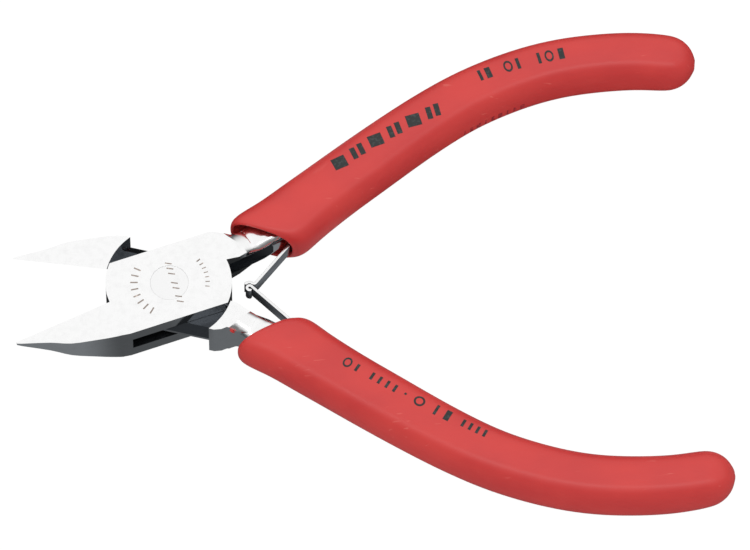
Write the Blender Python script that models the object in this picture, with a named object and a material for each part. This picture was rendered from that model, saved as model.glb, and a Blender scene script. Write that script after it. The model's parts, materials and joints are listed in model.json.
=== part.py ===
"""Flush cutter for electronics work: a pair of box-joint nippers with dipped grips.

Metres, +Z up.  The tool lies flat with its jaws towards -X and its handles towards +X,
open at rest, on the undersides of its grips.  The origin is under the middle of the tool.
All lengths below are in millimetres until finish_part() turns them into metres.

Each half is drawn in its closed position about the pivot, as the half whose handle is on
the +Y side, and the other half is the mirror image.  Two empties at the pivot then swing
the halves open.
"""
import math

import bmesh
import bpy
from mathutils import Matrix, Vector

MM = 0.001
TWO_PI = 2 * math.pi

# Whole tool
PIVOT = Vector((-33.967, 0.0, 5.1))
HALF_OPEN = math.radians(16.5)

# Head and jaws
HEAD_HALF_Z = 4.25
HEAD_HALF_Y = 7.0
TIP_X = -28.0
TIP_HALF_Z = 0.3
TAPER_START_X = -11.0
EDGE_GAP = 0.05
CHEEK_R = 11.0
CHEEK_REAR_R = 10.8
BEVEL_ANGLE = math.radians(28)
HEAD_CHAMFER = 0.3
JAW_STEPS = 3
JAW_OUTER = [(-28.0, -0.35), (-27.2, -0.75), (-22.7, -2.7), (-19.4, -4.45), (-15.5, -5.65),
             (-13.0, -6.35), (-11.0, -6.8), (-9.5, -HEAD_HALF_Y)]
PLATE_REAR = [(13.2, 1.1), (16.2, 2.0), (15.4, 5.6), (12.6, 5.9), (11.6, 6.0), (10.8, 6.6),
              (9.6, HEAD_HALF_Y)]

# Box joint
SLOT_R = 11.5
SLOT_HALF_Z = 1.6
TONGUE_HALF_Z = 1.5
FLANK_Y = 5.5
FLANK_LOW_Z = 0.3
RECESS_R = 11.15
RIVET_R = 3.2
RIVET_BORE_R = 3.3
RIVET_DOME = 0.05
ROUND_STEPS = 96

# Scoop from the head's flat faces down to the shank
SCOOP_FRONT = Vector((13.45, 3.68))
SCOOP_ALONG = Vector((3.1, -4.85)).normalized()
SCOOP_RUN = 4.2
SCOOP_DROP = 1.0

# Shank inside the grip: inner edge, outer edge and half thickness at each station
SHANK_FRONT = [((11.9, 1.0), (12.3, 5.5), 3.1), ((15.0, 1.25), (14.3, 6.1), 3.3),
               ((18.1, 1.63), (17.0, 7.3), 3.1), ((21.8, 2.6), (20.5, 8.7), 2.9),
               ((25.0, 3.3), (24.0, 10.0), 2.8), ((28.6, 4.4), (27.4, 11.4), 2.7),
               ((33.6, 6.5), (31.8, 12.5), 2.6)]
SHANK_HALF_Y = (3.1, 2.6)
SHANK_HALF_Z = (2.6, 2.3)
SHANK_LAST = 0.86
SHANK_POWER = 3.4
SHANK_SIDES = 20

# Handle centre line from where the grip runs square to it, and the grip around it
CENTRE = [(25.7, 6.9), (33.3, 9.7), (41.0, 12.2), (52.0, 15.8), (63.5, 18.5), (77.2, 19.0),
          (89.75, 16.4), (97.3, 13.4), (103.0, 10.4)]
CENTRE_FIRST = 2
CENTRE_LAST = 7
GRIP_MOUTH = [((23.4, 0.4), (13.95, 8.35), 4.75), ((24.0, 0.12), (14.5, 9.15), 5.05),
              ((25.0, 0.12), (16.3, 9.85), 5.2), ((26.3, 0.55), (20.0, 10.65), 5.2),
              ((28.4, 1.65), (24.4, 12.25), 5.2), ((31.5, 3.0), (28.5, 13.6), 5.2),
              ((36.4, 4.95), (33.9, 15.45), 5.2)]
GRIP_STATIONS = 12
GRIP_HALF_Y = (5.35, 4.95, 4.65)
GRIP_HALF_Z = 5.2
GRIP_END_HALF_Z = 4.9
GRIP_FLAT_Z = 5.1
GRIP_CAP = 5.3
GRIP_CAP_RINGS = 4
GRIP_POWER = 2.6
GRIP_SIDES = 28
MOUTH_WALL = 0.8
BODY_WALL = 1.1
LIP_FORWARD = 0.3
FIT_GAP = 0.3

# Leaf springs, in the closed position of their own half (mirrored for the lower one)
LEAF_T = 0.5
LEAF_HALF_Z = 1.5
UPPER_ROOT = Vector((23.6, 2.2))
LOWER_ROOT = Vector((25.2, 1.8))
UPPER_KNEE = Vector((22.7, 1.4))
LOWER_KNEE = Vector((22.8, 1.45))
UPPER_FOOT = [(24.5, 2.65), (26.6, 3.3), (30.4, 4.72)]
LOWER_FOOT = [(26.1, 2.5), (27.6, 3.55), (30.6, 4.8)]
# Where the leaves meet, in the open position about the pivot
LEAF_MEETING = Vector((14.7, 0.25))
LEAF_CLEAR = 0.1
EYE_MID_R = 0.45
EYE_TURN = math.radians(250)
EYE_LEAD = 0.15
LIP_TURN = math.radians(95)
BEND_R = 0.45
ARC_STEPS = 10

# Pocket that leaves room for the folded leaves
POCKET_X = (10.9, 20.6)
POCKET_Y = 2.1
POCKET_HALF_Z = 1.95

# Finishes: colour, metallic, roughness
POLISHED = ((0.86, 0.87, 0.88), 1.0, 0.12)
RIVET = ((0.82, 0.83, 0.84), 1.0, 0.2)
SPRING = ((0.18, 0.19, 0.21), 1.0, 0.3)
COATING = ((0.72, 0.03, 0.04), 0.0, 0.45)


# ---------------------------------------------------------------- scene and helpers

def clear_scene():
    """Remove every object of the open file."""
    for obj in list(bpy.data.objects):
        bpy.data.objects.remove(obj)


def make_collection(name):
    """Add a collection to the scene."""
    collection = bpy.data.collections.new(name)
    bpy.context.scene.collection.children.link(collection)
    return collection


def make_material(name, finish):
    """Make a plain finish."""
    colour, metallic, roughness = finish
    material = bpy.data.materials.new(name)
    material.use_nodes = True
    shader = material.node_tree.nodes["Principled BSDF"]
    shader.inputs["Base Color"].default_value = (*colour, 1.0)
    shader.inputs["Metallic"].default_value = metallic
    shader.inputs["Roughness"].default_value = roughness
    return material


def make_frame(name, collection, turn):
    """Empty at the pivot, turned about the pivot's axis."""
    empty = bpy.data.objects.new(name, None)
    empty.empty_display_size = 5 * MM
    empty.location = PIVOT * MM
    empty.rotation_euler = (0, 0, turn)
    collection.objects.link(empty)
    return empty


def finish_part(name, bm, collection, finish=None, parent=None, smooth=0.6):
    """Turn a millimetre mesh into an object in metres."""
    bmesh.ops.recalc_face_normals(bm, faces=bm.faces)
    bmesh.ops.scale(bm, vec=(MM, MM, MM), verts=bm.verts)
    mesh = bpy.data.meshes.new(name)
    bm.to_mesh(mesh)
    bm.free()
    mesh.shade_smooth()
    mesh.set_sharp_from_angle(angle=smooth)
    obj = bpy.data.objects.new(name, mesh)
    collection.objects.link(obj)
    obj.parent = parent
    if finish is None:
        obj.hide_render = True
        obj.display_type = "WIRE"
    else:
        mesh.materials.append(make_material(name + "_finish", finish))
    return obj


def combine(obj, other, operation):
    """Cut or join another object into this one."""
    modifier = obj.modifiers.new(other.name, "BOOLEAN")
    modifier.operation = operation
    modifier.solver = "EXACT"
    modifier.object = other


def arc(centre, radius, start, turn, steps):
    """Points along an arc, both ends included."""
    points = []
    for step in range(steps + 1):
        angle = start + turn * step / steps
        points.append(Vector((centre[0] + radius * math.cos(angle),
                              centre[1] + radius * math.sin(angle))))
    return points


def turned(point, angle):
    """A plan point turned about the pivot."""
    return Matrix.Rotation(angle, 2) @ Vector(point)


def rounded(points, radius):
    """Path with its inner corners rounded by short arcs."""
    path = [Vector(points[0])]
    for before, corner, after in zip(points, points[1:], points[2:]):
        corner = Vector(corner)
        start = corner + (Vector(before) - corner).normalized() * radius
        end = corner + (Vector(after) - corner).normalized() * radius
        for step in range(5):
            share = step / 4
            path.append(start.lerp(corner, share).lerp(corner.lerp(end, share), share))
    path.append(Vector(points[-1]))
    return path


def strip_outline(path, thickness):
    """Closed outline of a strip that follows a path, with rounded ends."""
    left, right = [], []
    half = thickness / 2
    for index, point in enumerate(path):
        ahead = path[min(index + 1, len(path) - 1)]
        behind = path[max(index - 1, 0)]
        along = (ahead - behind).normalized()
        side = Vector((-along.y, along.x)) * half
        left.append(point + side)
        right.append(point - side)
    first_along = (path[1] - path[0]).normalized()
    last_along = (path[-1] - path[-2]).normalized()
    nose = path[-1] + last_along * half
    tail = path[0] - first_along * half
    return left + [nose] + right[::-1] + [tail]


def superellipse_ring(inner, outer, half_z, power, sides, flat=None):
    """Upright ring of points between two plan points."""
    inner, outer = Vector(inner), Vector(outer)
    centre = (inner + outer) / 2
    reach = (outer - inner) / 2
    ring = []
    for side in range(sides):
        angle = TWO_PI * (side + 0.5) / sides
        across = math.copysign(abs(math.cos(angle)) ** (2 / power), math.cos(angle))
        up = math.copysign(abs(math.sin(angle)) ** (2 / power), math.sin(angle))
        height = half_z * up
        if flat is not None:
            height = max(-flat, min(flat, height))
        plan = centre + reach * across
        ring.append(Vector((plan.x, plan.y, height)))
    return ring


def loft(rings):
    """Closed skin over a row of rings."""
    bm = bmesh.new()
    rows = [[bm.verts.new(point) for point in ring] for ring in rings]
    for row, following in zip(rows, rows[1:]):
        for index in range(len(row)):
            nearby = (index + 1) % len(row)
            bm.faces.new((row[index], row[nearby], following[nearby], following[index]))
    bm.faces.new(rows[0])
    bm.faces.new(rows[-1])
    return bm


def catmull(points, index, share):
    """Point and direction on a smooth curve between two of its points."""
    before, start, end, after = (Vector(points[index + step]) for step in (-1, 0, 1, 2))
    bend = 2 * before - 5 * start + 4 * end - after
    twist = 3 * start - before - 3 * end + after
    place = start + 0.5 * share * ((end - before) + share * (bend + share * twist))
    along = 0.5 * ((end - before) + 2 * share * bend + 3 * share * share * twist)
    return place, along.normalized()


def smooth_line(points, steps):
    """Points along a smooth curve through the given ones, with straight end spans."""
    line = [Vector(points[0])]
    for index in range(1, len(points) - 2):
        line += [catmull(points, index, step / steps)[0] for step in range(steps)]
    return line + [Vector(point) for point in points[-2:]]


def flat_outline(points, half_z):
    """Filled flat outline with a thickness, as a welded mesh."""
    curve = bpy.data.curves.new("outline", "CURVE")
    curve.dimensions = "2D"
    curve.fill_mode = "BOTH"
    curve.extrude = half_z
    spline = curve.splines.new("POLY")
    spline.points.add(len(points) - 1)
    for place, point in zip(spline.points, points):
        place.co = (point[0], point[1], 0, 1)
    spline.use_cyclic_u = True
    guide = bpy.data.objects.new("outline", curve)
    bpy.context.scene.collection.objects.link(guide)
    evaluated = guide.evaluated_get(bpy.context.evaluated_depsgraph_get())
    mesh = bpy.data.meshes.new_from_object(evaluated)
    bpy.data.objects.remove(guide)
    bm = bmesh.new()
    bm.from_mesh(mesh)
    bpy.data.meshes.remove(mesh)
    bmesh.ops.remove_doubles(bm, verts=bm.verts, dist=0.001)
    bmesh.ops.dissolve_limit(bm, angle_limit=0.001, verts=bm.verts, edges=bm.edges)
    return bm


def cylinder(radius, half_length, centre=(0, 0, 0), steps=ROUND_STEPS, turn=None):
    """Capped cylinder, upright unless it is turned."""
    bm = bmesh.new()
    place = Matrix.Translation(centre)
    if turn is not None:
        place = place @ turn
    bmesh.ops.create_cone(bm, cap_ends=True, segments=steps, radius1=radius, radius2=radius,
                          depth=2 * half_length, matrix=place)
    return bm


def block(corners):
    """Box whose eight corners are moved to the given places, low face first."""
    bm = bmesh.new()
    bmesh.ops.create_cube(bm, size=2)
    order = [(-1, -1), (1, -1), (1, 1), (-1, 1)]
    for vert in bm.verts:
        corner = order.index((round(vert.co.x), round(vert.co.y)))
        vert.co = corners[corner + (4 if vert.co.z > 0 else 0)]
    return bm


def mirror_to(side, bm):
    """Mirror a mesh to the other half of the tool."""
    if side < 0:
        bmesh.ops.scale(bm, vec=(1, -1, 1), verts=bm.verts)
    return bm


# ---------------------------------------------------------------- forged halves

def head_outline():
    """Plan of the jaw and the joint, with a short stub towards the shank."""
    rear_low = -math.asin(HEAD_HALF_Y / CHEEK_REAR_R)
    rear_high = math.asin(0.92 / CHEEK_REAR_R)
    front_low = math.pi - math.asin(HEAD_HALF_Y / CHEEK_R)
    points = [(TIP_X, -EDGE_GAP)] + smooth_line(JAW_OUTER, JAW_STEPS)
    points += arc((0, 0), CHEEK_REAR_R, rear_low, rear_high - rear_low, 14)
    points += PLATE_REAR
    points += arc((0, 0), CHEEK_R, front_low, math.pi - front_low, 10)
    points.append((-CHEEK_R, -EDGE_GAP))
    return points


def head_top(x):
    """Half thickness of the jaws at a place along them."""
    share = (TAPER_START_X - x) / (TAPER_START_X - TIP_X)
    return HEAD_HALF_Z + (TIP_HALF_Z - HEAD_HALF_Z) * share


def head_plate(side):
    """Jaw and joint as a tapered plate with chamfered rims."""
    bm = flat_outline(head_outline(), HEAD_HALF_Z)
    slope = (HEAD_HALF_Z - TIP_HALF_Z) / (TAPER_START_X - TIP_X)
    for sign in (1, -1):
        bmesh.ops.bisect_plane(bm, geom=bm.verts[:] + bm.edges[:] + bm.faces[:], clear_outer=True,
                               plane_co=(TAPER_START_X, 0, sign * HEAD_HALF_Z),
                               plane_no=(-slope, 0, sign))
        bmesh.ops.holes_fill(bm, edges=[edge for edge in bm.edges if edge.is_boundary])
    rims = []
    for edge in bm.edges:
        first, second = edge.verts
        level = all(abs(abs(vert.co.z) - min(HEAD_HALF_Z, head_top(vert.co.x))) < 0.01
                    for vert in edge.verts)
        cutting = all(abs(vert.co.y + EDGE_GAP) < 0.01 for vert in edge.verts)
        crosses = abs(first.co.z - second.co.z) > 1.0 and first.co.z * second.co.z < 0
        sharp = edge.is_manifold and edge.calc_face_angle() > 0.6
        if level and sharp and not cutting and not crosses:
            rims.append(edge)
    bmesh.ops.bevel(bm, geom=rims, offset=HEAD_CHAMFER, segments=1, affect="EDGES",
                    clamp_overlap=True)
    bmesh.ops.remove_doubles(bm, verts=bm.verts, dist=0.0005)
    return mirror_to(side, bm)


def handle_station(share):
    """Point, direction and outward normal on the handle's centre line, share from 0 to 1."""
    position = CENTRE_FIRST + share * (CENTRE_LAST - CENTRE_FIRST)
    index = min(int(position), CENTRE_LAST - 1)
    place, along = catmull(CENTRE, index, position - index)
    return place, along, Vector((-along.y, along.x))


def shank_rings(gap=0.0, last=SHANK_LAST, front=SHANK_FRONT, sides=SHANK_SIDES):
    """Rings of the shank, or of a space that keeps a gap to it."""
    rings = []
    for inner, outer, half_z in front:
        along = (Vector(outer) - Vector(inner)).normalized() * gap
        rings.append(superellipse_ring(Vector(inner) - along, Vector(outer) + along,
                                       half_z + gap, SHANK_POWER, sides))
    for step in range(8):
        share = last * step / 7
        place, _, normal = handle_station(share)
        half_y = SHANK_HALF_Y[0] + (SHANK_HALF_Y[1] - SHANK_HALF_Y[0]) * share + gap
        half_z = SHANK_HALF_Z[0] + (SHANK_HALF_Z[1] - SHANK_HALF_Z[0]) * share + gap
        rings.append(superellipse_ring(place - normal * half_y, place + normal * half_y,
                                       half_z, SHANK_POWER, sides))
    return rings


def cut_scoops(half, side, name, cutters):
    """Scoops that lead the head's flat faces down to the shank."""
    across = Vector((-SCOOP_ALONG.y, SCOOP_ALONG.x))
    radius = (SCOOP_RUN ** 2 + SCOOP_DROP ** 2) / (2 * SCOOP_DROP)
    lie_down = Matrix.Rotation(math.atan2(SCOOP_ALONG.y, SCOOP_ALONG.x), 4, "Z")
    lie_down = lie_down @ Matrix.Rotation(math.pi / 2, 4, "Y")
    middle = SCOOP_FRONT + across * SCOOP_RUN
    for sign, place in ((1, "top"), (-1, "under")):
        height = sign * (HEAD_HALF_Z - SCOOP_DROP + radius)
        bm = cylinder(radius, 12.0, (middle.x, middle.y, height), turn=lie_down)
        cutter = finish_part(name + "_scoop_" + place, mirror_to(side, bm), cutters,
                             parent=half.parent)
        combine(half, cutter, "DIFFERENCE")


def cut_bevel(half, side, name, cutters):
    """Long bevel under the cutting edge, which leaves the edge on the upper face."""
    corners = []
    far_y = 14.0
    for level in (-1, 1):
        for x, far in ((TIP_X - 2.0, 0), (TAPER_START_X + 0.1, 0), (TAPER_START_X + 0.1, 1),
                       (TIP_X - 2.0, 1)):
            height = 9.0 * level
            edge_y = -EDGE_GAP + (height - head_top(x)) * math.tan(BEVEL_ANGLE)
            corners.append(Vector((x, far_y if far else edge_y, height)))
    cutter = finish_part(name + "_bevel", mirror_to(side, block(corners)), cutters,
                         parent=half.parent)
    combine(half, cutter, "DIFFERENCE")


def cut_pocket(half, side, name, cutters):
    """Pocket in the inner side of the shank, where the folded leaf springs go."""
    corners = []
    for level in (-1, 1):
        for x, y in ((POCKET_X[0], -3.0), (POCKET_X[1], -3.0), (POCKET_X[1], POCKET_Y),
                     (POCKET_X[0], POCKET_Y)):
            corners.append(Vector((x, y, level * POCKET_HALF_Z)))
    cutter = finish_part(name + "_pocket", mirror_to(side, block(corners)), cutters,
                         parent=half.parent)
    combine(half, cutter, "DIFFERENCE")


def make_half(name, side, frame, parts, cutters):
    """One forged half: jaw, its share of the box joint, and the shank in the grip."""
    half = finish_part(name, head_plate(side), parts, POLISHED, frame, smooth=0.45)
    cut_scoops(half, side, name, cutters)
    shank = finish_part(name + "_shank", mirror_to(side, loft(shank_rings())), cutters,
                        parent=frame)
    combine(half, shank, "UNION")
    cut_bevel(half, side, name, cutters)
    cut_pocket(half, side, name, cutters)
    return half


def cut_box(half, cutters):
    """Slot through the box half, in which the tongue swings."""
    slot = finish_part("joint_slot", cylinder(SLOT_R, SLOT_HALF_Z), cutters, parent=half.parent)
    combine(half, slot, "DIFFERENCE")


def cut_flanks(half, sign, place, cutters):
    """Slopes along both flanks of the tongue, inside the round recess."""
    for side, flank in ((1, "left"), (-1, "right")):
        bm = cylinder(RECESS_R, 2.0, (0, 0, FLANK_LOW_Z + 2.0))
        fall = Vector((0, side * (TONGUE_HALF_Z - FLANK_LOW_Z), HEAD_HALF_Y - FLANK_Y))
        bmesh.ops.bisect_plane(bm, geom=bm.verts[:] + bm.edges[:] + bm.faces[:], clear_inner=True,
                               plane_co=(0, side * FLANK_Y, TONGUE_HALF_Z), plane_no=fall)
        bmesh.ops.holes_fill(bm, edges=[edge for edge in bm.edges if edge.is_boundary])
        bmesh.ops.bisect_plane(bm, geom=bm.verts[:] + bm.edges[:] + bm.faces[:], clear_inner=True,
                               plane_co=(0, side * (FLANK_Y - 0.4), 0), plane_no=(0, side, 0))
        bmesh.ops.holes_fill(bm, edges=[edge for edge in bm.edges if edge.is_boundary])
        bmesh.ops.scale(bm, vec=(1, 1, sign), verts=bm.verts)
        cutter = finish_part("joint_" + flank + "_flank_" + place, bm, cutters, parent=half.parent)
        combine(half, cutter, "DIFFERENCE")


def cut_tongue(half, cutters):
    """Round recesses that leave the tongue in the middle of the thickness."""
    depth = 3.0
    for sign, place in ((1, "top"), (-1, "under")):
        middle = sign * (TONGUE_HALF_Z + depth)
        recess = finish_part("joint_recess_" + place, cylinder(RECESS_R, depth, (0, 0, middle)),
                             cutters, parent=half.parent)
        combine(half, recess, "DIFFERENCE")
        cut_flanks(half, sign, place, cutters)


def cut_bore(half, name, cutters):
    """Bore for the rivet."""
    bore = finish_part(name + "_bore", cylinder(RIVET_BORE_R, HEAD_HALF_Z + 1.0, steps=48),
                       cutters, parent=half.parent)
    combine(half, bore, "DIFFERENCE")


def make_rivet(frame, parts):
    """Pivot rivet, ground flush with both faces of the head."""
    bm = cylinder(RIVET_R, HEAD_HALF_Z - RIVET_DOME, steps=48)
    return finish_part("pivot_rivet", bm, parts, RIVET, frame)


# ---------------------------------------------------------------- dipped grips

def grip_width(share):
    """Half width of the grip along the handle."""
    front, middle, rear = GRIP_HALF_Y
    if share < 0.35:
        return front + (middle - front) * share / 0.35
    return middle + (rear - middle) * (share - 0.35) / 0.65


def grip_skin():
    """Outer rings of a grip from its mouth to its rounded end."""
    rings = [superellipse_ring(inner, outer, half_z, GRIP_POWER, GRIP_SIDES, GRIP_FLAT_Z)
             for inner, outer, half_z in GRIP_MOUTH]
    for step in range(GRIP_STATIONS):
        share = step / (GRIP_STATIONS - 1)
        place, _, normal = handle_station(share)
        half_y = grip_width(share)
        half_z = GRIP_HALF_Z
        if share > 0.8:
            half_z += (GRIP_END_HALF_Z - GRIP_HALF_Z) * (share - 0.8) / 0.2
        rings.append(superellipse_ring(place - normal * half_y, place + normal * half_y, half_z,
                                       GRIP_POWER, GRIP_SIDES, GRIP_FLAT_Z))
    place, along, normal = handle_station(1.0)
    for step in range(1, GRIP_CAP_RINGS + 1):
        angle = math.radians(80) * step / GRIP_CAP_RINGS
        centre = place + along * GRIP_CAP * math.sin(angle)
        half_y = GRIP_HALF_Y[2] * math.cos(angle)
        rings.append(superellipse_ring(centre - normal * half_y, centre + normal * half_y,
                                       GRIP_END_HALF_Z * math.cos(angle), GRIP_POWER, GRIP_SIDES))
    return rings


def grip_hollow():
    """Inner rings of a grip from its closed end out to its mouth."""
    front = []
    for index, (inner, outer, half_z) in enumerate(GRIP_MOUTH):
        wall = MOUTH_WALL if index == 0 else BODY_WALL
        across = (Vector(outer) - Vector(inner)).normalized() * wall
        front.append((Vector(inner) + across, Vector(outer) - across, half_z - wall))
    rings = []
    for inner, outer, half_z in front[:5]:
        rings.append(superellipse_ring(inner, outer, half_z, GRIP_POWER, GRIP_SIDES))
    rings += shank_rings(FIT_GAP, SHANK_LAST + 0.01, SHANK_FRONT[-1:], GRIP_SIDES)
    return rings[::-1]


def mouth_lip():
    """Rounded rim between the hollow and the skin."""
    inner, outer, half_z = GRIP_MOUTH[0]
    inner, outer = Vector(inner), Vector(outer)
    across = (outer - inner).normalized()
    forward = Vector((-across.y, across.x))
    if forward.x > 0:
        forward = -forward
    rings = []
    for inset in (0.75, 0.35):
        step = across * MOUTH_WALL * inset
        rings.append(superellipse_ring(inner + step + forward * LIP_FORWARD,
                                       outer - step + forward * LIP_FORWARD,
                                       half_z - MOUTH_WALL * inset, GRIP_POWER, GRIP_SIDES))
    return rings


def make_grip(name, side, frame, parts):
    """Dipped coating over one handle, open at its mouth."""
    bm = mirror_to(side, loft(grip_hollow() + mouth_lip() + grip_skin()))
    return finish_part(name, bm, parts, COATING, frame, smooth=0.9)


# ---------------------------------------------------------------- leaf springs

def opened(point, side):
    """A plan point of one half's closed position, in the open position about the pivot."""
    return turned((point.x, side * point.y), side * HALF_OPEN)


def leaf_line():
    """Direction of the lower leaf towards its end, and the direction off its inner side."""
    offset = LEAF_T + LEAF_CLEAR
    reach = LEAF_MEETING - opened(LOWER_KNEE, -1)
    angle = math.atan2(reach.y, reach.x) + math.asin(offset / reach.length)
    along = Vector((math.cos(angle), math.sin(angle)))
    return along, Vector((along.y, -along.x)), offset


def eye_centre():
    """Centre of the lower leaf's rolled end."""
    along, inner_side, offset = leaf_line()
    return LEAF_MEETING - inner_side * (offset + EYE_MID_R) + along * EYE_LEAD


def make_leaf_arm(name, path, joint_point, parts):
    """Free length of a leaf spring, with its origin on the line where it bends."""
    outline = [point - joint_point for point in strip_outline(path, LEAF_T)]
    bm = flat_outline(outline, LEAF_HALF_Z)
    arm = finish_part(name, bm, parts, SPRING, smooth=0.5)
    arm.location = (PIVOT + Vector((joint_point.x, joint_point.y, 0))) * MM
    return arm


def make_lower_leaf(parts):
    """Lower leaf: a straight arm with its end rolled outwards into an eye."""
    _, inner_side, _ = leaf_line()
    eye = eye_centre()
    root = opened(LOWER_ROOT, -1)
    start = math.atan2(inner_side.y, inner_side.x)
    roll = arc(eye, EYE_MID_R, start, EYE_TURN, 14)
    path = rounded([root, opened(LOWER_KNEE, -1), roll[0]], BEND_R) + roll[1:]
    return make_leaf_arm("lower_leaf_arm", path, root, parts)


def make_upper_leaf(parts):
    """Upper leaf: a straight arm whose end hooks over the lower leaf's eye."""
    eye = eye_centre()
    root = opened(UPPER_ROOT, 1)
    spoke = LEAF_MEETING - eye
    start = math.atan2(spoke.y, spoke.x)
    hook = arc(eye, spoke.length, start, LIP_TURN, ARC_STEPS)
    path = rounded([root, opened(UPPER_KNEE, 1), LEAF_MEETING, hook[4]], BEND_R) + hook[5:]
    return make_leaf_arm("upper_leaf_arm", path, LEAF_MEETING, parts)


def make_foot(name, points, side, frame, parts):
    """Root of a leaf spring, held between the shank and the coating."""
    path = rounded(points, BEND_R)
    bm = mirror_to(side, flat_outline(strip_outline(path, LEAF_T), LEAF_HALF_Z))
    return finish_part(name, bm, parts, SPRING, frame)


# ---------------------------------------------------------------- assembly

def main():
    """Build the tool."""
    clear_scene()
    parts = make_collection("flush_cutter")
    cutters = make_collection("cutters")
    box_frame = make_frame("box_side", parts, HALF_OPEN)
    tongue_frame = make_frame("tongue_side", parts, -HALF_OPEN)

    box_half = make_half("box_half", 1, box_frame, parts, cutters)
    cut_box(box_half, cutters)
    cut_bore(box_half, "box_half", cutters)
    tongue_half = make_half("tongue_half", -1, tongue_frame, parts, cutters)
    cut_tongue(tongue_half, cutters)
    cut_bore(tongue_half, "tongue_half", cutters)
    make_rivet(box_frame, parts)

    make_grip("upper_grip", 1, box_frame, parts)
    make_grip("lower_grip", -1, tongue_frame, parts)

    make_lower_leaf(parts)
    make_upper_leaf(parts)
    make_foot("upper_leaf_foot", UPPER_FOOT, 1, box_frame, parts)
    make_foot("lower_leaf_foot", LOWER_FOOT, -1, tongue_frame, parts)


main()
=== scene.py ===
"""Looks of the flush cutter: polished forged halves, dipped grips and leaf springs."""
import json
import math

import bmesh
import bpy
from mathutils import Matrix, Vector


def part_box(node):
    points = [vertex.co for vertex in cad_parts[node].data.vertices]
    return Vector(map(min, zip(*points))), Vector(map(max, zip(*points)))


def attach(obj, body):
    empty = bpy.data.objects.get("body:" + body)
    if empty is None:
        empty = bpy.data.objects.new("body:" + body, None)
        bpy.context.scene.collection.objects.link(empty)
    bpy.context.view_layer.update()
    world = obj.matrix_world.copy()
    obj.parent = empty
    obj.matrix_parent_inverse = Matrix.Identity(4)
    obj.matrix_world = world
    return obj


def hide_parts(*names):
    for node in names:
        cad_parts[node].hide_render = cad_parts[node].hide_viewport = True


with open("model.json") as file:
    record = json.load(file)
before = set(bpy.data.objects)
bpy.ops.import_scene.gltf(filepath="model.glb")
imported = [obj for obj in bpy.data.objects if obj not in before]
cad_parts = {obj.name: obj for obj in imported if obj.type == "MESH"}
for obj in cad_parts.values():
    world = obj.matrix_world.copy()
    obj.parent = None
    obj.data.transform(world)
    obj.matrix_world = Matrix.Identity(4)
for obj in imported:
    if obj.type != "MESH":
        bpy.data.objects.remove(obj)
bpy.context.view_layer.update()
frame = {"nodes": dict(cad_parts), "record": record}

MM = 0.001
JOINTS = {joint["name"]: joint for joint in frame["record"]["behaviour"]["joints"]}
PIVOT = Vector(JOINTS["jaw_pivot"]["pos_m"])
HEAD_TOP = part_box("box_half")[1][2]
HEAD_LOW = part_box("box_half")[0][2]
HALF_OPEN = math.radians(JOINTS["jaw_pivot"]["range_deg"][1]) / 2
RIVET_RADIUS = 3.288 * MM

bpy.ops.object.select_all(action="DESELECT")


# ---------------------------------------------------------------- node helpers

def node(tree, kind, inputs=None, **settings):
    """Add a node, with its settings and its inputs' values or links."""
    made = tree.nodes.new(kind)
    for name, value in settings.items():
        setattr(made, name, value)
    for key, value in (inputs or {}).items():
        if isinstance(value, bpy.types.NodeSocket):
            tree.links.new(value, made.inputs[key])
        else:
            made.inputs[key].default_value = value
    return made


def noise(tree, stretch, **inputs):
    """Noise in object coordinates, stretched by axis."""
    settings = {label.capitalize(): value for label, value in inputs.items()}
    return node(tree, "ShaderNodeTexNoise", {"Vector": stretched(tree, stretch), "Scale": 1.0, **settings})


def group(name, inputs, outputs):
    """New shader group with its sockets; returns the tree, its entry and its exit."""
    tree = bpy.data.node_groups.new(name, "ShaderNodeTree")
    for label, value in inputs.items():
        kind = "NodeSocketFloat" if isinstance(value, float) else "NodeSocketColor"
        tree.interface.new_socket(name=label, in_out="INPUT", socket_type=kind).default_value = value
    for label, kind in outputs.items():
        tree.interface.new_socket(name=label, in_out="OUTPUT", socket_type=kind)
    return tree, tree.nodes.new("NodeGroupInput"), tree.nodes.new("NodeGroupOutput")


def placed(tree, shared, inputs):
    """Place a shared group."""
    return node(tree, "ShaderNodeGroup", inputs, node_tree=shared)


def stretched(tree, scale):
    """Object coordinates scaled by axis."""
    place = node(tree, "ShaderNodeTexCoord")
    return node(tree, "ShaderNodeMapping", {"Vector": place.outputs["Object"], "Scale": scale}).outputs[0]


def ramp(tree, value, low, high, to_low=0.0, to_high=1.0):
    """Smooth step of a value."""
    return node(tree, "ShaderNodeMapRange", {"Value": value, "From Min": low, "From Max": high,
                                             "To Min": to_low, "To Max": to_high},
                interpolation_type="SMOOTHSTEP").outputs["Result"]


def maths(tree, operation, first, second):
    """One arithmetic step."""
    return node(tree, "ShaderNodeMath", {0: first, 1: second}, operation=operation).outputs[0]


def mix_colour(tree, share, first, second):
    """Blend of two colours."""
    return node(tree, "ShaderNodeMix", {0: share, 6: first, 7: second}, data_type="RGBA").outputs[2]


# ---------------------------------------------------------------- shared effects

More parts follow.
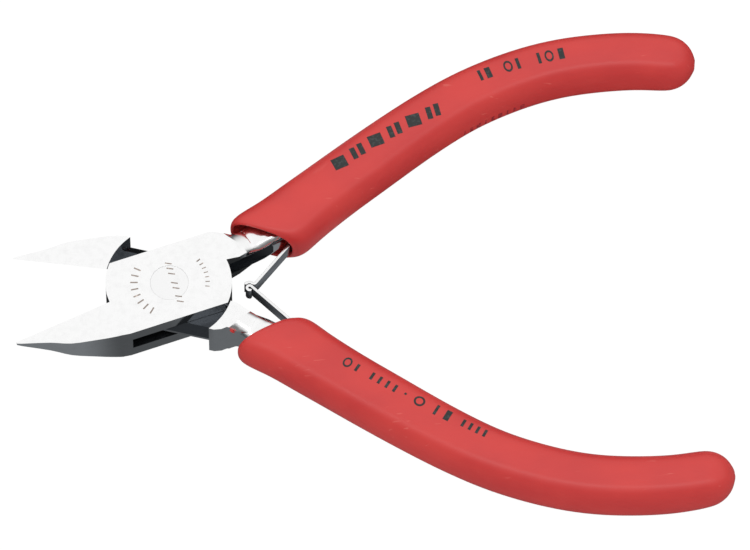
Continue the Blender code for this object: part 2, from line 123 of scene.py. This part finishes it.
def make_streaks():
    """Fine lines left by grinding and polishing, in two directions."""
    tree, entry, end = group("grinding_lines", {"Strength": 1.0, "Fineness": 1.0},
                             {"Height": "NodeSocketFloat", "Roughness": "NodeSocketFloat"})
    long = noise(tree, (90, 5200, 5200), detail=3.0, scale=entry.outputs["Fineness"])
    cross = noise(tree, (3600, 240, 900), detail=2.0, scale=entry.outputs["Fineness"])
    smudge = noise(tree, (140, 140, 140), detail=2.0)
    lines = maths(tree, "ADD", maths(tree, "MULTIPLY", long.outputs[0], 0.7),
                  maths(tree, "MULTIPLY", cross.outputs[0], 0.3))
    tree.links.new(maths(tree, "MULTIPLY", lines, entry.outputs["Strength"]), end.inputs["Height"])
    haze = maths(tree, "ADD", maths(tree, "MULTIPLY", ramp(tree, smudge.outputs[0], 0.35, 0.7), 0.05),
                 maths(tree, "MULTIPLY", lines, 0.06))
    tree.links.new(maths(tree, "MULTIPLY", haze, entry.outputs["Strength"]), end.inputs["Roughness"])
    return tree


def make_edge_wear():
    """Where edges are rubbed: 1 on outer edges, 0 elsewhere, broken up by a fine noise."""
    tree, entry, end = group("edge_wear", {"Reach": 0.53, "Amount": 1.0}, {"Mask": "NodeSocketFloat"})
    shape = node(tree, "ShaderNodeNewGeometry")
    patchy = noise(tree, (900, 900, 900), detail=4.0)
    edge = node(tree, "ShaderNodeMapRange", {"Value": shape.outputs["Pointiness"],
                                             "From Min": entry.outputs["Reach"], "From Max": 0.62})
    broken = maths(tree, "MULTIPLY", edge.outputs["Result"], ramp(tree, patchy.outputs[0], 0.3, 0.6))
    tree.links.new(maths(tree, "MULTIPLY", broken, entry.outputs["Amount"]), end.inputs["Mask"])
    return tree


def make_skin():
    """Grain of a dipped coating: fine pimples, shallow waves and a few long scuffs."""
    tree, entry, end = group("coating_skin", {"Grain": 1.0, "Scuffs": 1.0},
                             {"Height": "NodeSocketFloat", "Scuff": "NodeSocketFloat",
                              "Cloud": "NodeSocketFloat"})
    fine = noise(tree, (2600, 2600, 2600), detail=3.0)
    wave = noise(tree, (260, 420, 420), detail=2.0)
    cloud = noise(tree, (70, 110, 110), detail=3.0)
    scuff = noise(tree, (160, 1500, 900), detail=2.0, distortion=0.6)
    where = noise(tree, (95, 95, 95))
    marks = maths(tree, "MULTIPLY", ramp(tree, scuff.outputs[0], 0.66, 0.74),
                  ramp(tree, where.outputs[0], 0.5, 0.62))
    marks = maths(tree, "MULTIPLY", marks, entry.outputs["Scuffs"])
    grain = maths(tree, "MULTIPLY", fine.outputs[0], entry.outputs["Grain"])
    height = maths(tree, "ADD", maths(tree, "MULTIPLY", grain, 0.5), wave.outputs[0])
    tree.links.new(maths(tree, "SUBTRACT", height, maths(tree, "MULTIPLY", marks, 0.5)),
                   end.inputs["Height"])
    tree.links.new(marks, end.inputs["Scuff"])
    tree.links.new(cloud.outputs[0], end.inputs["Cloud"])
    return tree


STREAKS = make_streaks()
EDGE_WEAR = make_edge_wear()
SKIN = make_skin()


# ---------------------------------------------------------------- materials

def material(name):
    """New material; returns it, its tree and its shader."""
    made = bpy.data.materials.new(name)
    made.use_nodes = True
    return made, made.node_tree, made.node_tree.nodes["Principled BSDF"]


def add_relief(tree, shader, height, strength, distance):
    """Fine relief of a surface."""
    relief = node(tree, "ShaderNodeBump", {"Height": height, "Strength": strength, "Distance": distance})
    tree.links.new(relief.outputs[0], shader.inputs["Normal"])


def steel(name, colour, dull, roughness, strength, bump, fineness=1.0, edge=None, worn=0.8):
    """Ground or polished steel with bright rubbed edges; given a second colour, faces that point up or down
    take it as a painted highlight over darker sides.
    """
    made, tree, shader = material(name)
    lines = placed(tree, STREAKS, {"Strength": strength, "Fineness": fineness})
    wear = placed(tree, EDGE_WEAR, {"Amount": worn})
    spots = noise(tree, (700, 700, 700), detail=5.0)
    body = mix_colour(tree, ramp(tree, spots.outputs[0], 0.55, 0.75), (*colour, 1), (*dull, 1))
    if edge:
        # Painted highlight: faces that point up or down get the lighter colour, and the sides keep the
        # darker one.
        facing_for_painted_highlight = node(tree, "ShaderNodeSeparateXYZ", {0: node(tree, "ShaderNodeNewGeometry").outputs["Normal"]})
        upright = maths(tree, "ABSOLUTE", facing_for_painted_highlight.outputs["Z"], 0.0)
        body = mix_colour(tree, ramp(tree, upright, 0.6, 0.95), body, (*edge, 1))
    shader.inputs["Metallic"].default_value = 1.0
    tree.links.new(mix_colour(tree, wear.outputs["Mask"], body, (0.9, 0.9, 0.9, 1)),
                   shader.inputs["Base Color"])
    rough = maths(tree, "ADD", lines.outputs["Roughness"], roughness)
    tree.links.new(rough, shader.inputs["Roughness"])
    add_relief(tree, shader, lines.outputs["Height"], bump, 0.01 * MM)
    return made


def coating(name):
    """Satin dipped plastic."""
    made, tree, shader = material(name)
    skin = placed(tree, SKIN, {"Grain": 1.0, "Scuffs": 1.0})
    wear = placed(tree, EDGE_WEAR, {"Reach": 0.56, "Amount": 0.25})
    cloud = ramp(tree, skin.outputs["Cloud"], 0.3, 0.7)
    red = mix_colour(tree, cloud, (0.56, 0.034, 0.033, 1), (0.63, 0.042, 0.037, 1))
    red = mix_colour(tree, maths(tree, "MULTIPLY", skin.outputs["Scuff"], 0.35), red, (0.8, 0.2, 0.16, 1))
    red = mix_colour(tree, wear.outputs["Mask"], red, (0.7, 0.09, 0.08, 1))
    tree.links.new(red, shader.inputs["Base Color"])
    rough = maths(tree, "ADD", maths(tree, "MULTIPLY", cloud, 0.06), 0.3)
    tree.links.new(rough, shader.inputs["Roughness"])
    add_relief(tree, shader, skin.outputs["Height"], 0.35, 0.03 * MM)
    return made


def ink(name, colour, roughness):
    """Printed ink, thinner in places; the same material in dark red also gives the painted shade of moulded
    lettering.
    """
    made, tree, shader = material(name)
    speck = noise(tree, (1900, 1900, 1900), detail=4.0)
    thin = tuple(min(1.0, channel * 2.2 + 0.01) for channel in colour)
    tree.links.new(mix_colour(tree, ramp(tree, speck.outputs[0], 0.5, 0.7), (*colour, 1), (*thin, 1)),
                   shader.inputs["Base Color"])
    shader.inputs["Roughness"].default_value = roughness
    add_relief(tree, shader, speck.outputs[0], 0.2, 0.01 * MM)
    return made


LOOKS = {
    "polished_steel": steel("polished_steel", (0.86, 0.86, 0.86), (0.83, 0.83, 0.83), 0.09, 1.0, 0.25),
    "rivet_steel": steel("rivet_steel", (0.86, 0.86, 0.86), (0.83, 0.83, 0.83), 0.1, 1.0, 0.25, 1.3),
    # Near-black steel on the recessed faces of the joint and the pocket: painted shade.
    "painted_shade_steel": steel("painted_shade_steel", (0.05, 0.056, 0.064), (0.036, 0.041, 0.048), 0.3, 1.0, 0.6, 0.7,
                         worn=0.0),
    # The spring's last colour, (0.84, 0.84, 0.84), is a painted highlight on the faces of the strip that
    # point up or down.
    "spring_steel": steel("spring_steel", (0.45, 0.46, 0.48), (0.34, 0.35, 0.37), 0.18, 1.0, 0.3, 1.0,
                          (0.84, 0.84, 0.84)),
    "dipped_coating": coating("dipped_coating"),
    "print_ink": ink("print_ink", (0.012, 0.017, 0.017), 0.55),
    "etched_marks": ink("etched_marks", (0.3, 0.25, 0.22), 0.6),
    # Dark red standing in for moulded lettering on the grip's side: painted shade of its relief.
    "mould_text_shade": ink("mould_text_shade", (0.33, 0.015, 0.02), 0.45),
}


# ---------------------------------------------------------------- studio

CAMERA_DISTANCE = 1.09
CAMERA_ELEVATION = math.radians(63.55)
CAMERA_AZIMUTH = math.radians(-1.03)
CAMERA_ROLL = math.radians(-1.95)
CAMERA_AIM = PIVOT + Vector((0.0357, 0.0016, 0.0))
CAMERA_LENS = 302.2
OVERHEAD = Vector((0.0, 0.25, 0.97))


def make_camera():
    """Long lens from above the front of the tool."""
    back = Vector((math.sin(CAMERA_AZIMUTH) * math.cos(CAMERA_ELEVATION),
                   -math.cos(CAMERA_AZIMUTH) * math.cos(CAMERA_ELEVATION),
                   math.sin(CAMERA_ELEVATION)))
    place = PIVOT + back * CAMERA_DISTANCE
    level = Vector((0, 0, 1)).cross(back).normalized()
    upright = Matrix.Rotation(CAMERA_ROLL, 3, back) @ back.cross(level)
    sight = (CAMERA_AIM - place).normalized()
    right = sight.cross(upright).normalized()
    turn = Matrix((right, right.cross(sight), -sight)).transposed()
    data = bpy.data.cameras.new("camera")
    data.lens = CAMERA_LENS
    data.sensor_width = 36.0
    data.clip_end = 10.0
    camera = bpy.data.objects.new("camera", data)
    bpy.context.scene.collection.objects.link(camera)
    camera.matrix_world = Matrix.Translation(place) @ turn.to_4x4()
    bpy.context.scene.camera = camera


def make_world():
    """Even light all round; mirror-like surfaces see a broad soft overhead panel in a dim room."""
    world = bpy.data.worlds.new("studio")
    world.use_nodes = True
    tree = world.node_tree
    place = node(tree, "ShaderNodeTexCoord").outputs["Generated"]
    wide = node(tree, "ShaderNodeVectorMath", {0: place, 1: (0.6, 1.0, 1.0)}, operation="MULTIPLY")
    wide = node(tree, "ShaderNodeVectorMath", {0: wide.outputs[0]}, operation="NORMALIZE")
    facing = node(tree, "ShaderNodeVectorMath",
                  {0: wide.outputs[0], 1: OVERHEAD.normalized()},
                  operation="DOT_PRODUCT").outputs["Value"]
    panel = ramp(tree, facing, 0.3, 0.82, 0.2, 1.07)
    rays = node(tree, "ShaderNodeLightPath")
    level = node(tree, "ShaderNodeMix", {0: rays.outputs["Is Glossy Ray"], 2: 0.78, 3: panel})
    tree.links.new(level.outputs[0], tree.nodes["Background"].inputs["Strength"])
    tree.nodes["Background"].inputs["Color"].default_value = (1, 1, 1, 1)
    bpy.context.scene.world = world


def make_floor():
    """Pale floor that looks dimmer in the steel than it does to the eye: to glossy rays it is a painted
    reflection, a dim bluish glow whose strength is set by place near the tool.
    """
    bpy.ops.mesh.primitive_plane_add(size=4, location=(0, 0, 0))
    floor = bpy.context.object
    floor.name = "floor"
    made = bpy.data.materials.new("pale_floor")
    made.use_nodes = True
    tree = made.node_tree
    tree.nodes.clear()
    rays = node(tree, "ShaderNodeLightPath")
    matt = node(tree, "ShaderNodeBsdfDiffuse", {"Color": (0.9, 0.9, 0.9, 1)}).outputs[0]
    glow = node(tree, "ShaderNodeEmission", {"Color": (1, 1, 1, 1), "Strength": 1.05}).outputs[0]
    seen = node(tree, "ShaderNodeMixShader", {0: 0.94, 1: matt, 2: glow}).outputs[0]
    place = node(tree, "ShaderNodeTexCoord").outputs["Object"]
    across = node(tree, "ShaderNodeSeparateXYZ", {0: place})
    # Painted reflection: glow strength set by place, dimmer or brighter in patches under the joint, the
    # shoulder and between the halves.
    painted_reflection_strength = ramp(tree, across.outputs["Y"], -8 * MM, -1 * MM, 0.2, 0.03)
    joint = ramp(tree, across.outputs["X"], -50 * MM, -42 * MM, 1.0, 0.42)
    shoulder = ramp(tree, across.outputs["X"], -33 * MM, -27 * MM, 0.0, 0.34)
    painted_reflection_strength = maths(tree, "MULTIPLY", painted_reflection_strength, maths(tree, "ADD", joint, shoulder))
    between = maths(tree, "MULTIPLY", ramp(tree, across.outputs["X"], -19 * MM, -14 * MM, 0.0, 0.2),
                    ramp(tree, across.outputs["X"], -4 * MM, 4 * MM, 1.0, 0.15))
    between = maths(tree, "MULTIPLY", between, ramp(tree, across.outputs["Y"], -9 * MM, -2 * MM, 0.15, 1.0))
    painted_reflection_strength = maths(tree, "ADD", painted_reflection_strength, between)
    # Painted reflection that the steel sees in place of the pale floor.
    mirrored = node(tree, "ShaderNodeEmission", {"Color": (0.88, 0.94, 1, 1), "Strength": painted_reflection_strength}).outputs[0]
    eye = node(tree, "ShaderNodeMixShader", {0: rays.outputs["Is Camera Ray"], 1: matt, 2: seen})
    both = node(tree, "ShaderNodeMixShader", {0: rays.outputs["Is Glossy Ray"], 1: eye.outputs[0],
                                              2: mirrored})
    node(tree, "ShaderNodeOutputMaterial", {0: both.outputs[0]})
    floor.data.materials.append(made)


def make_light(name, place, size, power, mirrored):
    """Rectangular panel that faces the tool."""
    data = bpy.data.lights.new(name, "AREA")
    data.shape = "RECTANGLE"
    data.size, data.size_y = size
    data.energy = power
    lamp = bpy.data.objects.new(name, data)
    bpy.context.scene.collection.objects.link(lamp)
    place = Vector(place)
    lamp.matrix_world = Matrix.Translation(place) @ place.to_track_quat("Z", "Y").to_matrix().to_4x4()
    lamp.visible_glossy = mirrored


make_camera()
make_world()
make_floor()
make_light("overhead_softbox", OVERHEAD, (0.9, 0.7), 2.2, False)
make_light("front_strip", (0.0, -0.36, 0.93), (1.3, 0.12), 1.2, True)
bpy.context.scene.view_settings.view_transform = "Standard"


# ---------------------------------------------------------------- pieces

def only(obj):
    """Make one object the selected and active one."""
    bpy.ops.object.select_all(action="DESELECT")
    obj.select_set(True)
    bpy.context.view_layer.objects.active = obj


def apply(obj, kind, **settings):
    """Add a modifier and apply it."""
    only(obj)
    modifier = obj.modifiers.new(kind.lower(), kind)
    for key, value in settings.items():
        setattr(modifier, key, value)
    bpy.ops.object.modifier_apply(modifier=modifier.name)


def rework(node_name, name):
    """Welded copy of a CAD node's mesh as a new piece."""
    piece = bpy.data.objects.new(name, frame["nodes"][node_name].data.copy())
    bpy.context.scene.collection.objects.link(piece)
    piece.data.name = name
    only(piece)
    bpy.ops.object.mode_set(mode="EDIT")
    bpy.ops.mesh.select_all(action="SELECT")
    bpy.ops.mesh.remove_doubles(threshold=0.002 * MM)
    bpy.ops.object.mode_set(mode="OBJECT")
    return piece


def finish_piece(piece, look, body, replaces=()):
    """Give a piece its material and its place in the assembly."""
    piece.data.materials.clear()
    piece.data.materials.append(LOOKS[look])
    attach(piece, body)
    if replaces:
        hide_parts(*replaces)
    bpy.ops.object.select_all(action="DESELECT")
    return piece


# Measures of the shank are in millimetres from the pivot, in the frame of the closed upper half.
SHANK_START = Vector((12.1, 3.25, 0.0))
SHANK_ALONG = Vector((0.9767, 0.2147, 0.0))
SHANK_ACROSS = Vector((-SHANK_ALONG.y, SHANK_ALONG.x, 0.0))
SHANK_HALF_WIDTH = 3.1
SHANK_POWER = 2.4
ROUND_FROM = 11.9
ROUND_TO = 22.0
ROUND_FLOOR = 2.3
SHANK_CUTS = (-2.0, -1.5, -1.0, -0.4, 0.3, 0.9, 1.3, 1.6, 1.9, 2.2, 2.5, 2.8)
SHANK_STEPS = (12.0, 12.4, 12.8, 13.2, 13.7, 14.2, 14.7, 15.2, 15.7, 16.4, 17.2, 18.2, 19.4, 20.6)


def shank_height(place):
    """Half height of the rounded shank at a place in the closed half's own frame."""
    across = (place.y - SHANK_START.y) * SHANK_ALONG.x - (place.x - SHANK_START.x) * SHANK_ALONG.y
    share = min(0.93, abs(across) / SHANK_HALF_WIDTH)
    middle = max(3.15, 4.6 - 0.36 * (place.x - 12.0 + 0.35 * across))
    rounded = middle * (1 - share ** SHANK_POWER) ** (1 / SHANK_POWER)
    blend = min(1.0, max(0.0, (place.x - ROUND_FROM) / 1.3))
    return max(ROUND_FLOOR, 4.3 * (1 - blend) + rounded * blend)


def round_shank(piece, side):
    """Round the steel that runs from the head down into the grip."""
    own = Matrix.Diagonal((1, side, 1)) @ Matrix.Rotation(-side * HALF_OPEN, 3, "Z")
    back = own.inverted()
    only(piece)
    bpy.ops.object.mode_set(mode="EDIT")
    bpy.ops.mesh.select_mode(type="FACE")
    cuts = [(SHANK_START + step * SHANK_ACROSS, SHANK_ACROSS) for step in SHANK_CUTS]
    cuts += [(Vector((step, 0, 0)), Vector((1, 0, 0))) for step in SHANK_STEPS]
    for point, normal in cuts:
        mesh = bmesh.from_edit_mesh(piece.data)
        for face in mesh.faces:
            places = [own @ (vert.co - PIVOT) / MM for vert in face.verts]
            middle = own @ (face.calc_center_median() - PIVOT) / MM
            face.select_set(11.7 < middle.x < ROUND_TO and max(abs(place.z) for place in places) > 2.2
                            and min(place.x for place in places) > 10.5)
        bmesh.update_edit_mesh(piece.data)
        bpy.ops.mesh.bisect(plane_co=PIVOT + back @ (point * MM), plane_no=back @ normal)
    bpy.ops.mesh.select_mode(type="VERT")
    bpy.ops.object.mode_set(mode="OBJECT")
    for vert in piece.data.vertices:
        place = own @ (vert.co - PIVOT) / MM
        if ROUND_FROM < place.x < ROUND_TO and abs(place.z) > ROUND_FLOOR:
            height = min(abs(place.z), shank_height(place))
            vert.co.z = PIVOT.z + math.copysign(height, place.z) * MM


def inside_joint(corners, side):
    """Whether a face of a half lies in the joint or in the pocket, recesses that get painted shade as
    near-black steel.
    """
    turn = Matrix.Rotation(-side * HALF_OPEN, 3, "Z")
    places = [turn @ (corner - PIVOT) / MM for corner in corners]
    depth = max(abs(place.z) for place in places)
    if depth < 1.72 and all(place.xy.length < 11.65 for place in places):
        return True
    return depth < 2.07 and all(10.7 < place.x < 20.8 and side * place.y < 2.25 for place in places)


def paint_joint_and_pocket_shade(piece, side):
    """Give the joint's and the pocket's faces painted shade: near-black steel."""
    piece.data.materials.append(LOOKS["painted_shade_steel"])
    for face in piece.data.polygons:
        if inside_joint([piece.data.vertices[index].co for index in face.vertices], side):
            face.material_index = 1


def make_forging(node_name, name, body, side):
    """Forged half with softly broken edges."""
    piece = rework(node_name, name)
    bpy.ops.object.mode_set(mode="EDIT")
    bpy.ops.mesh.select_all(action="SELECT")
    bpy.ops.mesh.dissolve_limited(angle_limit=math.radians(0.05))
    bpy.ops.object.mode_set(mode="OBJECT")
    round_shank(piece, side)
    apply(piece, "BEVEL", width=0.1 * MM, segments=2, limit_method="ANGLE",
          angle_limit=math.radians(32))
    only(piece)
    bpy.ops.object.shade_smooth_by_angle(angle=math.radians(30))
    apply(piece, "WEIGHTED_NORMAL", keep_sharp=True, weight=100)
    finish_piece(piece, "polished_steel", body, [node_name])
    # Painted shade on the joint's and the pocket's recessed faces.
    paint_joint_and_pocket_shade(piece, side)
    return piece


def make_grip(node_name, name, body):
    """Dipped grip, smoothed, a hair thinner than its frame so that the print lies within it."""
    piece = rework(node_name, name)
    bpy.ops.object.mode_set(mode="EDIT")
    bpy.ops.mesh.select_all(action="SELECT")
    bpy.ops.mesh.tris_convert_to_quads(face_threshold=math.radians(60),
                                       shape_threshold=math.radians(80))
    bpy.ops.object.mode_set(mode="OBJECT")
    apply(piece, "SUBSURF", levels=2, render_levels=2)
    only(piece)
    bpy.ops.object.mode_set(mode="EDIT")
    bpy.ops.mesh.select_all(action="SELECT")
    bpy.ops.transform.shrink_fatten(value=-0.04 * MM)
    bpy.ops.object.mode_set(mode="OBJECT")
    bpy.ops.object.shade_smooth()
    return finish_piece(piece, "dipped_coating", body, [node_name])


def make_leaf(node_name, name, body):
    """Leaf spring with broken edges."""
    piece = rework(node_name, name)
    bpy.ops.object.mode_set(mode="EDIT")
    bpy.ops.mesh.select_all(action="SELECT")
    bpy.ops.mesh.dissolve_limited(angle_limit=math.radians(0.6))
    bpy.ops.object.mode_set(mode="OBJECT")
    apply(piece, "BEVEL", width=0.05 * MM, segments=2, limit_method="ANGLE",
          angle_limit=math.radians(50))
    only(piece)
    bpy.ops.object.shade_smooth_by_angle(angle=math.radians(35))
    return finish_piece(piece, "spring_steel", body, [node_name])


def make_rivet():
    """Pivot rivet, peened and ground flush with both faces of the head."""
    bpy.ops.mesh.primitive_cylinder_add(vertices=96, radius=RIVET_RADIUS,
                                        depth=HEAD_TOP - HEAD_LOW - 0.02 * MM, location=PIVOT)
    rivet = bpy.context.object
    rivet.name = "rivet_ground_flush"
    bpy.ops.object.transform_apply(location=True, rotation=True, scale=True)
    apply(rivet, "BEVEL", width=0.03 * MM, segments=1, limit_method="ANGLE",
          angle_limit=math.radians(50))
    only(rivet)
    bpy.ops.object.shade_smooth_by_angle(angle=math.radians(30))
    return finish_piece(rivet, "rivet_steel", "box_side", ["pivot_rivet"])


def make_speck(surface):
    """Speck of coating left on the shoulder from dipping."""
    _, place, away, _ = surface.closest_point_on_mesh(PIVOT + Vector((10.4, -9.0, 2.9)) * MM)
    bpy.ops.mesh.primitive_uv_sphere_add(segments=20, ring_count=10, radius=0.5 * MM, location=(0, 0, 0))
    speck = bpy.context.object
    speck.name = "coating_speck"
    turn = away.to_track_quat("Z", "Y").to_matrix().to_4x4()
    speck.data.transform(Matrix.Translation(place) @ turn @ Matrix.Rotation(0.5, 4, "Z")
                         @ Matrix.Diagonal((0.7, 1.35, 0.5, 1)))
    bpy.ops.object.shade_smooth()
    return finish_piece(speck, "dipped_coating", "tongue_side")


box_forging = make_forging("box_half", "box_forging", "box_side", 1)
tongue_forging = make_forging("tongue_half", "tongue_forging", "tongue_side", -1)
upper_coat = make_grip("upper_grip", "upper_grip_coating", "box_side")
lower_coat = make_grip("lower_grip", "lower_grip_coating", "tongue_side")
make_leaf("upper_leaf_arm", "upper_leaf_spring", "upper_leaf")
make_leaf("lower_leaf_arm", "lower_leaf_spring", "lower_leaf")
make_rivet()
make_speck(tongue_forging)


# ---------------------------------------------------------------- prints

def make_bar():
    """Flat bar of unit size, divided so that it can follow a curved surface."""
    bpy.ops.mesh.primitive_grid_add(x_subdivisions=4, y_subdivisions=8, size=1)
    bar = bpy.context.object
    bar.name = "bar_pattern"
    return bar


def make_ring():
    """Flat ring of unit size."""
    bpy.ops.mesh.primitive_circle_add(vertices=24, radius=0.5, fill_type="NGON")
    ring = bpy.context.object
    ring.name = "ring_pattern"
    bpy.ops.object.mode_set(mode="EDIT")
    bpy.ops.mesh.select_all(action="SELECT")
    bpy.ops.mesh.inset(thickness=0.18)
    bpy.ops.mesh.delete(type="FACE")
    bpy.ops.object.mode_set(mode="OBJECT")
    return ring


BAR = make_bar()
RING = make_ring()


def print_row(name, shapes, surface, look, body, height, thickness=0.02, upright=False):
    """Row of flat marks laid onto a surface from above, or from the front, and given a thickness.

    Each mark is a pattern, its middle from the pivot, its width, its length and its turn.
    """
    copies = []
    stand = Matrix.Rotation(math.radians(90), 4, "X") if upright else Matrix.Identity(4)
    for pattern, middle, width, length, turn in shapes:
        mark = bpy.data.objects.new(name, pattern.data.copy())
        bpy.context.scene.collection.objects.link(mark)
        mark.data.transform(Matrix.Translation((PIVOT.x + middle[0] * MM, middle[1] * MM, height))
                            @ Matrix.Rotation(turn, 4, "Z") @ stand
                            @ Matrix.Diagonal((width * MM, length * MM, 1, 1)))
        copies.append(mark)
    bpy.ops.object.select_all(action="DESELECT")
    for mark in copies:
        mark.select_set(True)
    row = copies[0]
    bpy.context.view_layer.objects.active = row
    bpy.ops.object.join()
    row.name = name
    if surface:
        apply(row, "SHRINKWRAP", target=surface, wrap_method="PROJECT", offset=0.006 * MM,
              use_project_z=not upright, use_negative_direction=not upright,
              use_project_y=upright, use_positive_direction=upright)
    apply(row, "SOLIDIFY", thickness=thickness * MM, offset=1)
    only(row)
    bpy.ops.object.mode_set(mode="EDIT")
    bpy.ops.mesh.select_all(action="SELECT")
    bpy.ops.mesh.normals_make_consistent(inside=False)
    bpy.ops.object.mode_set(mode="OBJECT")
    return finish_piece(row, look, body)


def along(start, end, bulge=0.0):
    """Place and turn at a share of a shallow arc between two points."""
    start, end = Vector(start), Vector(end)
    run = end - start
    side = Vector((-run.y, run.x)).normalized()

    def at(share):
        place = start.lerp(end, share) + side * bulge * 4 * share * (1 - share)
        lean = math.atan2(run.y, run.x) + math.atan(bulge * 4 * (1 - 2 * share) / run.length)
        return place, lean
    return at


def row_on(at, marks):
    """Marks set along an arc, each given as pattern, share, width, length and slant."""
    shapes = []
    for pattern, share, width, length, slant in marks:
        place, lean = at(share)
        shapes.append((pattern, place, width, length, lean + slant))
    return shapes


ABOVE = 12 * MM
BOLD = along((29.8, 20.7), (48.6, 30.9), 0.55)
bold_marks = []
for step in range(6):
    if step % 2:
        bold_marks += [(BAR, 0.05 + 0.18 * step + side, 0.95, 2.35, -0.2) for side in (-0.036, 0.036)]
    else:
        bold_marks.append((BAR, 0.05 + 0.18 * step, 2.5, 2.35, -0.2))
print_row("upper_grip_bold_print", row_on(BOLD, bold_marks), upper_coat, "print_ink", "box_side", ABOVE)

FINE = along((55.9, 37.0), (72.2, 40.9), 0.4)
fine_marks = [(BAR, 0.03, 0.55, 2.2, 0), (BAR, 0.12, 1.0, 2.2, 0), (RING, 0.34, 1.6, 2.3, 0),
              (BAR, 0.45, 0.6, 2.2, 0), (BAR, 0.68, 0.55, 2.2, 0), (RING, 0.79, 1.6, 2.3, 0),
              (BAR, 0.92, 1.0, 2.2, 0)]
print_row("upper_grip_fine_print", row_on(FINE, fine_marks), upper_coat, "print_ink", "box_side", ABOVE)

# Faint marks on the grip's side: painted shade of moulded lettering, drawn as dark red ink.
GHOST = along((52.8, 25.0), (64.2, 30.4), 0.25)
ghost_marks = [(BAR, 0.04 + 0.115 * step, 0.3 + 0.25 * (step % 3), 1.9, 0.0) for step in range(9)]
print_row("upper_grip_moulded_text_shade", row_on(GHOST, ghost_marks), upper_coat, "mould_text_shade", "box_side",
          4.0 * MM, upright=True)

LOWER = along((29.3, -17.0), (52.3, -32.0), -0.3)
lower_marks = [(RING, 0.02, 1.6, 2.0, 0), (BAR, 0.09, 0.5, 1.5, 0)]
lower_marks += [(BAR, 0.2 + 0.055 * step, 0.5, 1.5, 0) for step in range(4)]
lower_marks += [(BAR, 0.44, 0.4, 0.4, 0), (RING, 0.54, 2.0, 2.0, 0), (BAR, 0.66, 0.5, 2.1, 0),
                (BAR, 0.74, 1.0, 2.1, 0)]
lower_marks += [(BAR, 0.85 + 0.05 * step, 0.5, 1.5, 0) for step in range(4)]
print_row("lower_grip_print", row_on(LOWER, lower_marks), lower_coat, "print_ink", "tongue_side", ABOVE)


def ticks(radius, first, last, count, width, length):
    """Etched marks on an arc about the pivot; angles in degrees."""
    shapes = []
    for step in range(count):
        angle = math.radians(first + (last - first) * step / (count - 1))
        middle = (radius * math.cos(angle), radius * math.sin(angle))
        shapes.append((BAR, middle, length, width, angle))
    return shapes


etched = ticks(6.1, 152, 238, 8, 0.26, 1.3)
etched += [(BAR, (1.7 - 0.23 * step, -3.7 + step), 1.2, 0.22, -0.2)
           for step in (0, 1, 2.6, 3.6, 5.4, 6.4, 7.4)]
etched += ticks(6.6, -9, 38, 7, 0.18, 0.75)
print_row("head_etched_marks", etched, None, "etched_marks", "box_side", HEAD_TOP + 0.003 * MM, 0.006)

for pattern in (BAR, RING):
    bpy.data.objects.remove(pattern)

for part in frame["record"]["subparts"]:
    carried = frame["nodes"][part["node"]]
    for holder in carried.material_slots:
        holder.material = LOOKS[part["material_slot"]]
